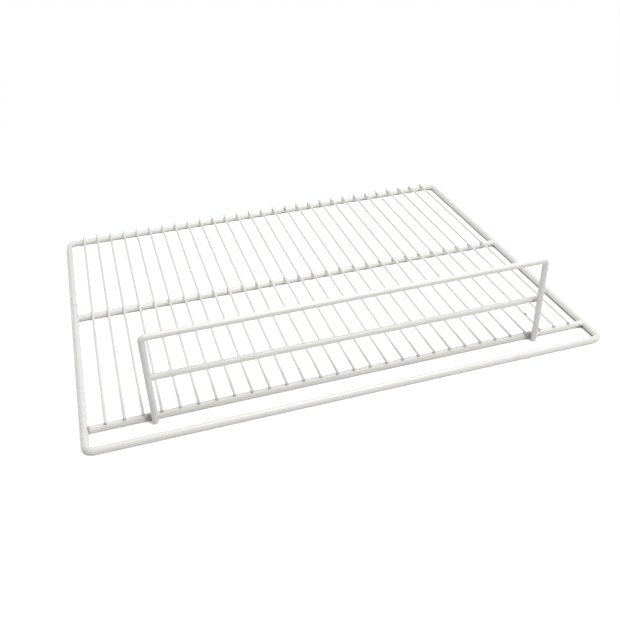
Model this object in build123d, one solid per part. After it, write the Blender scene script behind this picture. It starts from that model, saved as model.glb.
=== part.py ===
from build123d import *
import os

# Refrigerator shelf: round steel wires welded into a flat grid and coated white, with an upright
# guard near the front edge that stops goods from sliding off. Every diameter includes the coating.
# +X runs to the right, +Y to the back and +Z up; the shelf lies with its frame on Z = 0.
# Wires that cross touch where they are welded; a rod that butts on another is pressed into its side.

# Outer frame, one rod bent to a rectangle
frame_width = 530.0
frame_depth = 420.0
frame_rod_diameter = 7.0
frame_inside_bend_radius = 4.5

# Two cross rods between the side rails, placed from the front rail's axis
cross_rod_diameter = 7.0
front_cross_setback = 30.0
mid_cross_setback = 225.0
butt_weld_depth = 1.2

# Slats, the thin wires that carry the goods; the overhangs run on from the axis of the rod below
slat_count = 29
slat_diameter = 3.0
slat_side_gap = 19.75
slat_front_overhang = 2.5
slat_rear_overhang = 4.25

# Guard, a bent hoop with one rail across the back of its legs; heights are above the frame's underside
guard_width = 401.5
guard_height = 99.5
guard_rod_diameter = 6.5
guard_inside_bend_radius = 0.6
guard_foot_clearance = 1.0
guard_foot_chamfer = 1.0
guard_rail_height = 48.0
guard_rail_inset = 1.0

# Places that follow from the sizes above
frame_radius = frame_rod_diameter / 2
cross_radius = cross_rod_diameter / 2
slat_radius = slat_diameter / 2
guard_radius = guard_rod_diameter / 2
frame_bend_radius = frame_inside_bend_radius + frame_radius
guard_bend_radius = guard_inside_bend_radius + guard_radius

side_rail_x = frame_width / 2 - frame_radius
rail_spacing_y = frame_depth - frame_rod_diameter
slat_proud = max(0.0, slat_rear_overhang - frame_radius)
front_rail_y = -(frame_depth + slat_proud) / 2 + frame_radius
back_rail_y = front_rail_y + rail_spacing_y
front_cross_y = front_rail_y + front_cross_setback
mid_cross_y = front_rail_y + mid_cross_setback

# The cross rods' tops are level with the frame's, so that the slats lie flat on all three
frame_z = frame_radius
cross_z = frame_rod_diameter - cross_radius
slat_z = frame_rod_diameter + slat_radius

leg_x = guard_width / 2 - guard_radius
guard_y = front_cross_y - cross_radius - guard_radius
guard_rail_y = guard_y + guard_rod_diameter
guard_top_z = guard_height - guard_radius


def rod_along_x(radius, x_from, x_to, y, z):
    """Straight round wire lying left to right."""
    middle = Location(((x_from + x_to) / 2, y, z), (0, 90, 0))
    return middle * Cylinder(radius, x_to - x_from)


def rod_along_y(radius, y_from, y_to, x, z):
    """Straight round wire lying front to back."""
    middle = Location((x, (y_from + y_to) / 2, z), (90, 0, 0))
    return middle * Cylinder(radius, y_to - y_from)


def make_outer_frame():
    """One rod bent round four corners into a closed rectangle."""
    outline = RectangleRounded(2 * side_rail_x, rail_spacing_y, frame_bend_radius).face().outer_wire()
    path = Location((0, (front_rail_y + back_rail_y) / 2, frame_z)) * outline
    section = Plane(path @ 0, z_dir=path % 0) * Circle(frame_radius)
    return sweep(section, path=path)


def make_cross_rod(y):
    """Rod between the side rails, both ends pressed into the rails' inner sides by the butt weld."""
    end_x = side_rail_x - frame_radius + butt_weld_depth
    rod = rod_along_x(cross_radius, -end_x, end_x, y, cross_z)
    for side in (-1, 1):
        rod -= rod_along_y(frame_radius, front_rail_y, back_rail_y, side * side_rail_x, frame_z)
    return rod


def make_slat(x):
    """Thin wire lying on the back rail and both cross rods, a little longer than their span."""
    front_end = front_cross_y - slat_front_overhang
    rear_end = back_rail_y + slat_rear_overhang
    return rod_along_y(slat_radius, front_end, rear_end, x, slat_z)


def make_guard_hoop():
    """Rod bent into an upright hoop, its legs welded to the front of the front cross rod."""
    foot_z = guard_foot_clearance
    corners = [
        (-leg_x, guard_y, foot_z),
        (-leg_x, guard_y, guard_top_z),
        (leg_x, guard_y, guard_top_z),
        (leg_x, guard_y, foot_z),
    ]
    path = FilletPolyline(*corners, radius=guard_bend_radius)
    hoop = sweep(Plane(path @ 0, z_dir=path % 0) * Circle(guard_radius), path=path)
    feet = hoop.edges().filter_by(GeomType.CIRCLE).group_by(Axis.Z)[0]
    return chamfer(feet, guard_foot_chamfer)


def make_guard_rail():
    """Straight rail welded across the back of the guard's legs, half way up."""
    end_x = guard_width / 2 - guard_rail_inset
    return rod_along_x(guard_radius, -end_x, end_x, guard_rail_y, guard_rail_height)


pieces = {
    "outer_frame": make_outer_frame(),
    "front_cross_rod": make_cross_rod(front_cross_y),
    "mid_cross_rod": make_cross_rod(mid_cross_y),
    "guard_hoop": make_guard_hoop(),
    "guard_mid_rail": make_guard_rail(),
}

first_slat_x = -side_rail_x + slat_side_gap
slat_pitch = -2 * first_slat_x / (slat_count - 1)
for number in range(slat_count):
    pieces[f"slat_{number + 1:02d}"] = make_slat(first_slat_x + number * slat_pitch)

os.makedirs("parts", exist_ok=True)
for name, piece in pieces.items():
    export_step(piece, f"parts/{name}.step")
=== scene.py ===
import bpy
import math
import numpy as np
from mathutils import Matrix, Vector


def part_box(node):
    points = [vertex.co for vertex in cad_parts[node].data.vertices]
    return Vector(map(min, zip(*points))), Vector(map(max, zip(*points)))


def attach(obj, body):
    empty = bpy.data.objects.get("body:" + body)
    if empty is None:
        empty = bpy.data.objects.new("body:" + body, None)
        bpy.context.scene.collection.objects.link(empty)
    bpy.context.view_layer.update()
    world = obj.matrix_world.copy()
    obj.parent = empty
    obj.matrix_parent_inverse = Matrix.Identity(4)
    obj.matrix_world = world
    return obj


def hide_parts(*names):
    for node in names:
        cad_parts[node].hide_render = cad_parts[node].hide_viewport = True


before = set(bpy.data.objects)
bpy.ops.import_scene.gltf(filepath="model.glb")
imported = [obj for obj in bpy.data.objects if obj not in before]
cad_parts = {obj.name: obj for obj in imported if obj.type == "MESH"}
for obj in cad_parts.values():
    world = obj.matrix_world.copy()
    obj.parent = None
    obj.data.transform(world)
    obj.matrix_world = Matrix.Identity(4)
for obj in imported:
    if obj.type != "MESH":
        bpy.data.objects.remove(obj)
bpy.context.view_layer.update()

# Outer frame: one steel rod bent round four tight corners and welded shut into a rectangle.
# It is dipped with the rest of the shelf in white coating, which covers it with a smooth skin.
frame_low, frame_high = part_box("outer_frame")
frame_radius = (frame_high.z - frame_low.z) / 2
frame_inside_bend = 0.0045
frame_sides = 32
frame_seed = 1
bend_rings = 20
upward = (0, 0, 1)


def straight_run(start, end, spots=(), close_reach=0.006, wide_step=0.006, close_step=0.0003):
    """Ring centres and directions of a straight wire: close together beside its spots, else wide apart."""
    start = np.array(start, float)
    end = np.array(end, float)
    length = np.linalg.norm(end - start)
    direction = (end - start) / length
    places = [np.linspace(0, length, max(2, round(length / wide_step)))]
    for spot in spots:
        beside = (np.array(spot) - start) @ direction
        places.append(np.arange(beside - close_reach, beside + close_reach, close_step))
    places = np.unique(np.clip(np.concatenate(places), 0, length))
    least_step = close_step / 3
    places = places[np.insert(np.diff(places) > least_step, 0, True)]
    return start + places[:, None] * direction, np.tile(direction, (len(places), 1))


def bend(corner, before, after, bend_radius):
    """Ring centres and directions round one square corner of a rod, without the two ends of the bend."""
    centre = corner + (after - before) * bend_radius
    turn = np.linspace(0, math.pi / 2, bend_rings + 2)[1:-1, None]
    points = centre + bend_radius * (np.sin(turn) * before - np.cos(turn) * after)
    return points, np.cos(turn) * before + np.sin(turn) * after


def bent_rod(corners, bend_radius, closed, spots=()):
    """Centre line of a rod bent square at its corners: straight runs joined by round bends."""
    corners = [np.array(corner, float) for corner in corners]
    next_corners = corners[1:] + corners[:1]
    headings = [(b - a) / np.linalg.norm(b - a) for a, b in zip(corners, next_corners)]
    runs = len(corners) if closed else len(corners) - 1
    lines = []
    for run in range(runs):
        starts_bent = closed or run > 0
        ends_bent = closed or run < runs - 1
        start = corners[run] + headings[run] * bend_radius * starts_bent
        end = next_corners[run] - headings[run] * bend_radius * ends_bent
        lines.append(straight_run(start, end, spots))
        if ends_bent:
            next_heading = headings[(run + 1) % len(headings)]
            lines.append(bend(next_corners[run], headings[run], next_heading, bend_radius))
    centres, directions = zip(*lines)
    return np.concatenate(centres), np.concatenate(directions)


coat_unevenness = 0.00004
coat_uneven_spans = (0.013, 0.031, 0.077)
pool_steps = 25
pool_bury = 0.00015
least_rise = 1e-12


def coat_radius(along, radius, end_round, seed):
    """Radius of a coated wire along its length: slightly uneven, and rounded off at cut ends."""
    length = along[-1]
    bare = np.full(len(along), radius)
    if end_round is not None:
        from_tip = np.minimum(along, length - along)
        to_full = np.clip(end_round - from_tip, 0, None)
        bare += np.sqrt(np.clip(end_round**2 - to_full**2, 0, None)) - end_round
    chance = np.random.default_rng(seed)
    for span in coat_uneven_spans:
        turns = round(length / span) * 2 * math.pi / length
        wave = np.sin(along * turns + chance.uniform(0, 2 * math.pi))
        bare += coat_unevenness / len(coat_uneven_spans) * wave
    return bare


def pooled_coat(centres, outward, bare, rod):
    """How far from a wire's axis its coat reaches beside another rod, and how near that rod is, 0 to 1.

    The coat fills the corner between both wires. It is followed outward from the bare wire in small
    steps until it leaves that filling, or until it lies just under the other rod's skin.
    """
    point, direction, radius, pool = rod
    direction = np.array(direction, float)
    thickness = np.linspace(0, pool, pool_steps)
    reach = bare[..., None] + thickness
    from_point = centres[:, None, None] + outward[:, :, None] * reach[..., None] - np.array(point)
    along = from_point @ direction
    gap = np.linalg.norm(from_point - along[..., None] * direction, axis=-1) - radius
    closeness = np.clip(1 - np.abs(gap - thickness) / pool, 0, None)
    outside = np.minimum(gap, thickness) - closeness**2 * pool / 4
    past_end = np.maximum(outside, -gap - pool_bury)
    end = np.argmax(past_end >= 0, axis=-1)
    end[(past_end < 0).all(axis=-1)] = pool_steps - 1
    before = np.maximum(end - 1, 0)
    at_end = np.take_along_axis(past_end, end[..., None], axis=-1)[..., 0]
    at_before = np.take_along_axis(past_end, before[..., None], axis=-1)[..., 0]
    rise = at_end - at_before
    share = np.where(rise > 0, np.clip(-at_before / np.maximum(rise, least_rise), 0, 1), 1.0)
    filled = np.where(end > 0, thickness[before] + share * thickness[1], 0)
    return bare + filled, np.clip(1 - gap[..., 0] / (2 * pool), 0, 1)


def tube_faces(rings, sides, closed):
    """Faces of a tube: quads from ring to ring, and on an open tube a fan of triangles at each tip."""
    runs = rings if closed else rings - 1
    ring, side = np.meshgrid(np.arange(runs), np.arange(sides), indexing="ij")
    here = ring * sides
    ahead = (ring + 1) % rings * sides
    next_side = (side + 1) % sides
    quads = np.stack([here + side, here + next_side, ahead + next_side, ahead + side], axis=-1)
    faces = quads.reshape(-1, 4).tolist()
    if not closed:
        first_tip = rings * sides
        last_tip = first_tip + 1
        last_ring = first_tip - sides
        for corner in range(sides):
            next_corner = (corner + 1) % sides
            faces.append((first_tip, next_corner, corner))
            faces.append((last_tip, last_ring + corner, last_ring + next_corner))
    return faces


def coated_wire(name, line, flat_normal, radius, sides, rods=(), end_round=None, seed=0):
    """Round coated wire along a flat line, welded to the given rods; a closed loop without end_round.

    Each rod is a point on its axis, its direction, its radius and the width of the coat's pool on it.
    """
    centres, headings = line
    closed = end_round is None
    flat_normal = np.array(flat_normal, float)
    angle = np.linspace(0, 2 * math.pi, sides, endpoint=False)[None, :, None]
    across = np.cross(flat_normal, headings)[:, None, :]
    outward = across * np.cos(angle) + flat_normal * np.sin(angle)
    along = np.insert(np.cumsum(np.linalg.norm(np.diff(centres, axis=0), axis=1)), 0, 0.0)
    bare = np.repeat(coat_radius(along, radius, end_round, seed)[:, None], sides, axis=1)
    reach = bare
    weld = np.zeros_like(bare)
    for rod in rods:
        drawn, near = pooled_coat(centres, outward, bare, rod)
        reach = np.maximum(reach, drawn)
        weld = np.maximum(weld, near)
    points = (centres[:, None] + outward * reach[..., None]).reshape(-1, 3)
    points[:, 2] = np.maximum(points[:, 2], frame_low.z)
    weld = weld.ravel()
    if not closed:
        points = np.concatenate([points, centres[:1], centres[-1:]])
        weld = np.append(weld, [weld[0], weld[-1]])
    mesh = bpy.data.meshes.new(name)
    mesh.from_pydata(points.tolist(), [], tube_faces(len(centres), sides, closed))
    mesh.polygons.foreach_set("use_smooth", [True] * len(mesh.polygons))
    pooled = mesh.attributes.new("weld_pool", "FLOAT", "POINT")
    pooled.data.foreach_set("value", weld.astype(np.float32))
    mesh.update()
    wire = bpy.data.objects.new(name, mesh)
    bpy.context.scene.collection.objects.link(wire)
    return wire


coat_ior = 1.48
coat_dim_tone = (0.85, 0.84, 0.803, 1)
coat_bright_tone = (0.91, 0.90, 0.872, 1)
cloud_grain = 45
cloud_detail = 4
# Painted shade in part: the coat turns darker and warmer near the welds, in the corners between wires.
weld_tint_and_shade = (0.60, 0.585, 0.54, 1)
weld_nearness = (0.3, 1)
weld_tint_and_shade_share = (0, 0.2)
gloss_grain = 160
gloss_detail = 3
gloss_roughness = (0.22, 0.36)
peel_grain = 650
peel_detail = 2
peel_strength = 0.35
peel_depth = 0.00012
whole_range = (0, 1)


def ramp(material, value, reads, gives):
    """Output of a node that turns one range of a value into another."""
    node = material.node_tree.nodes.new("ShaderNodeMapRange")
    for socket, limit in zip(("From Min", "From Max", "To Min", "To Max"), (*reads, *gives)):
        node.inputs[socket].default_value = limit
    material.node_tree.links.new(value, node.inputs["Value"])
    return node.outputs["Result"]


def tone_between(material, share, first, second):
    """Output of a node that mixes two tones; each is a colour or the output of another node."""
    node = material.node_tree.nodes.new("ShaderNodeMix")
    node.data_type = "RGBA"
    material.node_tree.links.new(share, node.inputs["Factor"])
    for socket, tone in (("A", first), ("B", second)):
        if isinstance(tone, tuple):
            node.inputs[socket].default_value = tone
        else:
            material.node_tree.links.new(tone, node.inputs[socket])
    return node.outputs["Result"]


def white_coating(name):
    """Semi-gloss white coating: orange peel, faint clouds of tone, and a darker, warmer tint in the weld
    pools, partly painted shade in the corners between wires.
    """
    material = bpy.data.materials.new(name)
    material.use_nodes = True
    nodes, links = material.node_tree.nodes, material.node_tree.links
    shader = nodes["Principled BSDF"]
    shader.inputs["IOR"].default_value = coat_ior
    place = nodes.new("ShaderNodeTexCoord")

    def noise(grain, detail):
        node = nodes.new("ShaderNodeTexNoise")
        node.inputs["Scale"].default_value = grain
        node.inputs["Detail"].default_value = detail
        links.new(place.outputs["Object"], node.inputs["Vector"])
        return node.outputs["Fac"]

    clouds = tone_between(material, noise(cloud_grain, cloud_detail), coat_dim_tone, coat_bright_tone)
    # Near the welds the tone mixes towards a darker, warmer tint: partly painted shade of the corners.
    pool = nodes.new("ShaderNodeAttribute")
    pool.attribute_name = "weld_pool"
    pool_share = ramp(material, pool.outputs["Fac"], weld_nearness, weld_tint_and_shade_share)
    links.new(tone_between(material, pool_share, clouds, weld_tint_and_shade), shader.inputs["Base Color"])

    roughness = ramp(material, noise(gloss_grain, gloss_detail), whole_range, gloss_roughness)
    links.new(roughness, shader.inputs["Roughness"])

    peel = nodes.new("ShaderNodeBump")
    peel.inputs["Strength"].default_value = peel_strength
    peel.inputs["Distance"].default_value = peel_depth
    links.new(noise(peel_grain, peel_detail), peel.inputs["Height"])
    links.new(peel.outputs["Normal"], shader.inputs["Normal"])
    return material


def finish_wire(wire, node, material):
    """The wire takes its coating and the place of its node."""
    wire.data.materials.append(material)
    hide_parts(node)
    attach(wire, "root")


side_x = frame_high.x - frame_radius
front_y = frame_low.y + frame_radius
back_y = frame_high.y - frame_radius
frame_z = frame_low.z + frame_radius
frame_corners = [(-side_x, front_y, frame_z), (side_x, front_y, frame_z),
                 (side_x, back_y, frame_z), (-side_x, back_y, frame_z)]
frame_line = bent_rod(frame_corners, frame_inside_bend + frame_radius, closed=True)
outer_frame = coated_wire("coated_outer_frame", frame_line, upward, frame_radius, frame_sides,
                          seed=frame_seed)
frame_coating = white_coating("frame_white_coating")
finish_wire(outer_frame, "outer_frame", frame_coating)

# Cross rods: two straight rods cut to length and butt-welded between the side rails. The coating runs into
# a smooth hollow round their ends, but at the front rod's left end it never closed and left a dark crevice.
# Painted shade darkens that crevice, on the rail and the rod, and the underside of the front rod's right
# end.
cross_rods = ("front_cross_rod", "mid_cross_rod")
cross_sides = 32
cross_seed = 10
cross_end_round = 0.0004
butt_pool = 0.0018
butt_weld_reach = 0.007
crevice_rod = "front_cross_rod"
crevice = 0.0005
# Painted shade: a dark tone for the crevice at the front rod's left end and under its right end.
painted_shade_tone = (0.20, 0.195, 0.185, 1)
crevice_shade_size = (0.0013, 0.0038, 0.0042)
end_shade_size = (0.0048, 0.0030, 0.0026)
end_shade_left = 0.0025
end_shade_forward = 0.0026
end_shade_down = 0.0022
spot_grain = 1.5
spot_edge = (1.0, 1.75)
spot_cover = (1, 0)
backward = (0, 1, 0)
rail_face = side_x - frame_radius
left_rail, right_rail = [((x, 0, frame_z), backward, frame_radius, butt_pool) for x in (-side_x, side_x)]


def mark_and_shade_spot(material, spot, size, tone):
    """Soft ragged spot on a coating: an ellipsoid of the given half sizes, filled with another tone. It
    draws the chip and mark on a slat, and painted shade and shadows near the welds.
    """
    nodes, links = material.node_tree.nodes, material.node_tree.links
    base = nodes["Principled BSDF"].inputs["Base Color"]
    place = nodes.new("ShaderNodeTexCoord")
    away = nodes.new("ShaderNodeVectorMath")
    away.operation = "SUBTRACT"
    away.inputs[1].default_value = spot
    scaled = nodes.new("ShaderNodeVectorMath")
    scaled.operation = "DIVIDE"
    scaled.inputs[1].default_value = size
    distance = nodes.new("ShaderNodeVectorMath")
    distance.operation = "LENGTH"
    ragged = nodes.new("ShaderNodeTexNoise")
    ragged.inputs["Scale"].default_value = spot_grain / min(size)
    edge = nodes.new("ShaderNodeMath")
    edge.operation = "ADD"
    links.new(place.outputs["Object"], away.inputs[0])
    links.new(away.outputs["Vector"], scaled.inputs[0])
    links.new(scaled.outputs["Vector"], distance.inputs[0])
    links.new(place.outputs["Object"], ragged.inputs["Vector"])
    links.new(distance.outputs["Value"], edge.inputs[0])
    links.new(ragged.outputs["Fac"], edge.inputs[1])
    cover = ramp(material, edge.outputs[0], spot_edge, spot_cover)
    links.new(tone_between(material, cover, base.links[0].from_socket, tone), base)


coating = white_coating("white_coating")
front_rod_coating = white_coating("front_rod_white_coating")
cross_coatings = {"front_cross_rod": front_rod_coating, "mid_cross_rod": coating}
cross_lines = {}
for number, node in enumerate(cross_rods):
    low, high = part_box(node)
    radius = (high.y - low.y) / 2
    y = (low.y + high.y) / 2
    z = (low.z + high.z) / 2
    left_open = node == crevice_rod
    left_x = -rail_face + crevice if left_open else low.x
    ends = [(left_x, y, z), (high.x, y, z)]
    line = straight_run(*ends, ends, butt_weld_reach)
    rails = [right_rail] if left_open else [left_rail, right_rail]
    rod = coated_wire("coated_" + node, line, upward, radius, cross_sides, rails, cross_end_round,
                      seed=cross_seed + number)
    finish_wire(rod, node, cross_coatings[node])
    cross_lines[node] = (y, z, radius)

front_cross_y, front_cross_z, cross_radius = cross_lines["front_cross_rod"]
mid_cross_y, mid_cross_z, _ = cross_lines["mid_cross_rod"]
# Painted shade in the crevice at the front rod's left end, on both the rail and the rod.
crevice_spot = (-rail_face + crevice, front_cross_y, front_cross_z + cross_radius / 4)
for material in (frame_coating, front_rod_coating):
    mark_and_shade_spot(material, crevice_spot, crevice_shade_size, painted_shade_tone)
# Painted shade under the front rod's right end, where it meets the right rail.
end_shade_spot = (rail_face - end_shade_left, front_cross_y - end_shade_forward, front_cross_z - end_shade_down)
mark_and_shade_spot(front_rod_coating, end_shade_spot, end_shade_size, painted_shade_tone)

# Slats: thin wires laid front to back on the back rail and both cross rods and spot-welded to each. Their
# cut ends, rounded by the coating, stick out a little, and painted shade greys the front ones. One slat
# near the right end has a dark chip in its coating and a fainter mark behind it.
slat_sides = 20
slat_seed = 100
slat_pool = 0.0010
slat_weld_reach = 0.005
slat_end_round = 0.0010
slat_bow = 0.00018
slat_bow_seed = 29
# Painted shade: a grey tone over the slats' front ends, where they sit on the front rod.
front_tip_shade = (0.76, 0.745, 0.705, 1)
front_tip_shade_size = (1.0, 0.0026, 0.0022)
chipped_slat = "slat_27"
chip_y = -0.1497
chip_size = (0.0016, 0.0022, 0.0014)
chip_tone = (0.07, 0.07, 0.067, 1)
mark_y = -0.1393
mark_size = (0.0007, 0.0010, 0.0008)
mark_tone = (0.40, 0.36, 0.34, 1)
rightward = (1, 0, 0)
slat_rods = [((0, front_cross_y, front_cross_z), rightward, cross_radius, slat_pool),
             ((0, mid_cross_y, mid_cross_z), rightward, cross_radius, slat_pool),
             ((0, back_y, frame_z), rightward, frame_radius, slat_pool)]
slat_rod_places = (front_cross_y, mid_cross_y, back_y)
slat_nodes = sorted(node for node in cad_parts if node.startswith("slat_"))

chipped_low, chipped_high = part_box(chipped_slat)
chipped_x = (chipped_low.x + chipped_high.x) / 2
front_ends = (0, chipped_low.y, (chipped_low.z + chipped_high.z) / 2)
slat_coating = white_coating("slat_white_coating")
chipped_coating = white_coating("chipped_white_coating")
# The slats' front ends get painted shade.
for material in (slat_coating, chipped_coating):
    mark_and_shade_spot(material, front_ends, front_tip_shade_size, front_tip_shade)
mark_and_shade_spot(chipped_coating, (chipped_x, chip_y, chipped_high.z), chip_size, chip_tone)
mark_and_shade_spot(chipped_coating, (chipped_x, mark_y, chipped_high.z), mark_size, mark_tone)

chance = np.random.default_rng(slat_bow_seed)
for number, node in enumerate(slat_nodes):
    low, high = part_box(node)
    radius = (high.x - low.x) / 2
    x = (low.x + high.x) / 2
    z = (low.z + high.z) / 2
    ends = [(x, low.y, z), (x, high.y, z)]
    crossings = [(x, y, z) for y in slat_rod_places]
    centres, headings = straight_run(*ends, ends + crossings, slat_weld_reach)
    spans = np.interp(centres[:, 1], slat_rod_places, range(len(slat_rod_places)))
    front_bow, rear_bow = chance.uniform(-slat_bow, slat_bow, 2)
    centres[:, 0] += np.where(spans < 1, front_bow, rear_bow) * np.sin(math.pi * spans) ** 2
    slat = coated_wire("coated_" + node, (centres, headings), upward, radius, slat_sides, slat_rods,
                       slat_end_round, seed=slat_seed + number)
    finish_wire(slat, node, chipped_coating if node == chipped_slat else slat_coating)

# Guard hoop: one rod bent square at its two top corners into an upright hoop, its legs welded to the
# front of the front cross rod. Its feet end just above the floor, rounded by the coating. The shadow of
# each leg is painted as a grey patch on the cross rod, to the left of the leg.
hoop_low, hoop_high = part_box("guard_hoop")
hoop_radius = (hoop_high.y - hoop_low.y) / 2
hoop_inside_bend = 0.0006
hoop_sides = 28
hoop_seed = 40
leg_pool = 0.0010
foot_round = 0.0012
# Painted shadow: the grey patch each leg casts to its left, on the cross rod and the mid rail.
leg_shadow_tone = (0.40, 0.39, 0.365, 1)
leg_shadow_size = (0.0050, 0.0060, 0.0060)
leg_shadow_left = 0.0045
leg_shadow_forward = 0.002
leg_x = hoop_high.x - hoop_radius
hoop_y = (hoop_low.y + hoop_high.y) / 2
hoop_top = hoop_high.z - hoop_radius
hoop_corners = [(-leg_x, hoop_y, hoop_low.z), (-leg_x, hoop_y, hoop_top),
                (leg_x, hoop_y, hoop_top), (leg_x, hoop_y, hoop_low.z)]
leg_welds = [(x, hoop_y, front_cross_z) for x in (-leg_x, leg_x)]
hoop_line = bent_rod(hoop_corners, hoop_inside_bend + hoop_radius, closed=False, spots=leg_welds)
front_cross = ((0, front_cross_y, front_cross_z), rightward, cross_radius, leg_pool)
hoop = coated_wire("coated_guard_hoop", hoop_line, backward, hoop_radius, hoop_sides, [front_cross],
                   foot_round, seed=hoop_seed)
finish_wire(hoop, "guard_hoop", coating)
# Painted shadow of each leg on the front cross rod, to the left of the leg.
for x in (-leg_x, leg_x):
    leg_shadow_spot = (x - leg_shadow_left, front_cross_y - leg_shadow_forward, front_cross_z)
    mark_and_shade_spot(front_rod_coating, leg_shadow_spot, leg_shadow_size, leg_shadow_tone)

# Guard mid rail: a straight rod welded across the back of the hoop's legs, half way up.
# Its cut ends stay hidden behind the legs, and the right leg's shadow is painted on it as a grey patch as
# well.
rail_low, rail_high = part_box("guard_mid_rail")
rail_radius = (rail_high.z - rail_low.z) / 2
rail_seed = 41
rail_shadow_size = (0.0036, 0.0040, 0.0036)
rail_shadow_down = 0.0020
rail_y = (rail_low.y + rail_high.y) / 2
rail_z = (rail_low.z + rail_high.z) / 2
rail_ends = [(rail_low.x, rail_y, rail_z), (rail_high.x, rail_y, rail_z)]
rail_line = straight_run(*rail_ends, rail_ends, butt_weld_reach)
legs = [((x, hoop_y, 0), upward, hoop_radius, leg_pool) for x in (-leg_x, leg_x)]
rail = coated_wire("coated_guard_mid_rail", rail_line, upward, rail_radius, hoop_sides, legs,
                   foot_round, seed=rail_seed)
rail_coating = white_coating("rail_white_coating")
# Painted shadow of the right leg on the mid rail, to the left of the leg.
rail_shadow_spot = (leg_x - leg_shadow_left, rail_y - leg_shadow_forward, rail_z - rail_shadow_down)
mark_and_shade_spot(rail_coating, rail_shadow_spot, rail_shadow_size, leg_shadow_tone)
finish_wire(rail, "guard_mid_rail", rail_coating)

# Floor: a sheet of white paper that the shelf lies on, exposed past white where it is open. An occlusion
# test, leaning to the right and more towards the back at the back, paints narrow dark contact shade along
# the rods by turning the paper dim there. Away from the shelf it fades to plain white.
floor_size = 12.0
paper_bounce = (0.82, 0.82, 0.81, 1)
paper_lit = (1.1, 1.1, 1.1, 1)
paper_glow = 0.5
paper_shadowed = (0.3, 0.3, 0.3, 1)
contact_reach = 0.008
contact_openness = (0.12, 0.65)
light_side_x = 0.7
light_side_z = 0.7
light_side_places = (-0.2, 0.02)
light_side_lean = (-0.15, 0.4)
fade_distances = (0.40, 0.85)
plain_white = 1.0
half = floor_size / 2
floor_corners = [(-half, -half, 0), (half, -half, 0), (half, half, 0), (-half, half, 0)]
floor_mesh = bpy.data.meshes.new("floor")
floor_mesh.from_pydata(floor_corners, [], [(0, 1, 2, 3)])
floor = bpy.data.objects.new("floor", floor_mesh)
bpy.context.scene.collection.objects.link(floor)


def seen_directly(owner):
    """1 for rays that show the background to the camera, in a mirror or through glass; else 0."""
    nodes, links = owner.node_tree.nodes, owner.node_tree.links
    path = nodes.new("ShaderNodeLightPath")
    seen = path.outputs["Is Camera Ray"]
    for ray in ("Is Glossy Ray", "Is Transmission Ray"):
        either = nodes.new("ShaderNodeMath")
        either.operation = "MAXIMUM"
        links.new(seen, either.inputs[0])
        links.new(path.outputs[ray], either.inputs[1])
        seen = either.outputs[0]
    return seen


def shader_between(owner, share, first, second):
    """Output of a node that mixes two shaders."""
    node = owner.node_tree.nodes.new("ShaderNodeMixShader")
    for socket, value in zip(node.inputs, (share, first, second)):
        owner.node_tree.links.new(value, socket)
    return node.outputs[0]


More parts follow.
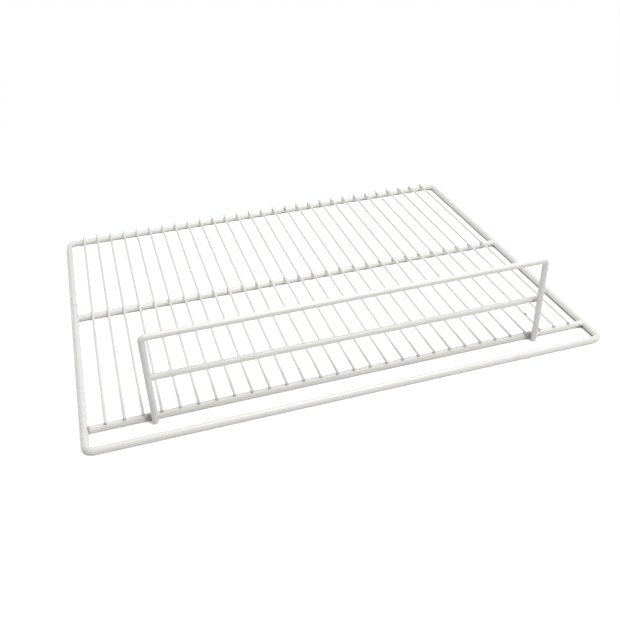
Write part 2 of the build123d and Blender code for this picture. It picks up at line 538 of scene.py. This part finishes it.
def white_sweep():
    """Matt white paper: it shows the shelf's shadow with painted contact shade along the rods, and fades to
    pure white away from it.
    """
    material = bpy.data.materials.new("white_sweep")
    material.use_nodes = True
    nodes, links = material.node_tree.nodes, material.node_tree.links
    nodes.remove(nodes["Principled BSDF"])

    def matt(tone):
        node = nodes.new("ShaderNodeBsdfDiffuse")
        node.inputs["Color"].default_value = tone
        return node.outputs[0]

    def glow(strength):
        node = nodes.new("ShaderNodeEmission")
        node.inputs["Strength"].default_value = strength
        return node.outputs[0]

    place = nodes.new("ShaderNodeTexCoord")
    spot = nodes.new("ShaderNodeSeparateXYZ")
    links.new(place.outputs["Object"], spot.inputs[0])
    light_side = nodes.new("ShaderNodeCombineXYZ")
    light_side.inputs["X"].default_value = light_side_x
    light_side.inputs["Z"].default_value = light_side_z
    lean = ramp(material, spot.outputs["Y"], light_side_places, light_side_lean)
    links.new(lean, light_side.inputs["Y"])
    # Painted shade: where the occlusion test finds a rod close by, the paper turns dim.
    contact = nodes.new("ShaderNodeAmbientOcclusion")
    contact.inputs["Distance"].default_value = contact_reach
    links.new(light_side.outputs[0], contact.inputs["Normal"])
    openness = ramp(material, contact.outputs["AO"], contact_openness, whole_range)
    lit = nodes.new("ShaderNodeAddShader")
    links.new(matt(paper_lit), lit.inputs[0])
    links.new(glow(paper_glow), lit.inputs[1])
    near = shader_between(material, openness, matt(paper_shadowed), lit.outputs[0])

    distance = nodes.new("ShaderNodeVectorMath")
    distance.operation = "LENGTH"
    links.new(place.outputs["Object"], distance.inputs[0])
    fade = ramp(material, distance.outputs["Value"], fade_distances, whole_range)
    shown = shader_between(material, fade, near, glow(plain_white))
    surface = shader_between(material, seen_directly(material), matt(paper_bounce), shown)
    links.new(surface, nodes["Material Output"].inputs["Surface"])
    return material


floor_mesh.materials.append(white_sweep())

# Light: one wide soft box overhead, a little to the right and the front, and a dim even surround.
# The wall behind the floor is plain white where it is seen.
surround_strength = 0.24
light_tone = (1, 1, 1, 1)
soft_box_place = Vector((0.33, -0.40, 1.6))
soft_box_size = 1.15
soft_box_power = 23.8
world = bpy.data.worlds.new("surround")
world.use_nodes = True
bpy.context.scene.world = world
surround = world.node_tree.nodes["Background"]
surround.inputs["Color"].default_value = light_tone
surround.inputs["Strength"].default_value = surround_strength
wall = world.node_tree.nodes.new("ShaderNodeBackground")
wall.inputs["Color"].default_value = light_tone
wall.inputs["Strength"].default_value = plain_white
around = shader_between(world, seen_directly(world), surround.outputs[0], wall.outputs[0])
world.node_tree.links.new(around, world.node_tree.nodes["World Output"].inputs["Surface"])

soft_lamp = bpy.data.lights.new("key_box", "AREA")
soft_lamp.size = soft_box_size
soft_lamp.energy = soft_box_power
soft_box = bpy.data.objects.new("key_box", soft_lamp)
soft_box.location = soft_box_place
soft_box.rotation_euler = (-soft_box_place).to_track_quat("-Z", "Y").to_euler()
bpy.context.scene.collection.objects.link(soft_box)

# Camera: stands in front of the shelf, to the left of its middle, and looks down on it and to the right.
# It was held a little out of level, so the view is rolled by about two degrees.
camera_place = (-0.2022, -0.7337, 0.4648)
look_right = math.radians(15.95)
look_down = math.radians(33.12)
roll = math.radians(-2.08)
camera_data = bpy.data.cameras.new("camera")
camera_data.sensor_width = 36.0
camera_data.lens = 43.63
camera_data.clip_start = 0.01
camera_data.clip_end = 50
camera = bpy.data.objects.new("camera", camera_data)
turn = Matrix.Rotation(-look_right, 3, "Z")
tilt = Matrix.Rotation(math.pi / 2 - look_down, 3, "X")
camera.rotation_euler = (turn @ tilt @ Matrix.Rotation(roll, 3, "Z")).to_euler()
camera.location = camera_place
bpy.context.scene.collection.objects.link(camera)
bpy.context.scene.camera = camera
bpy.context.scene.view_settings.view_transform = "Standard"
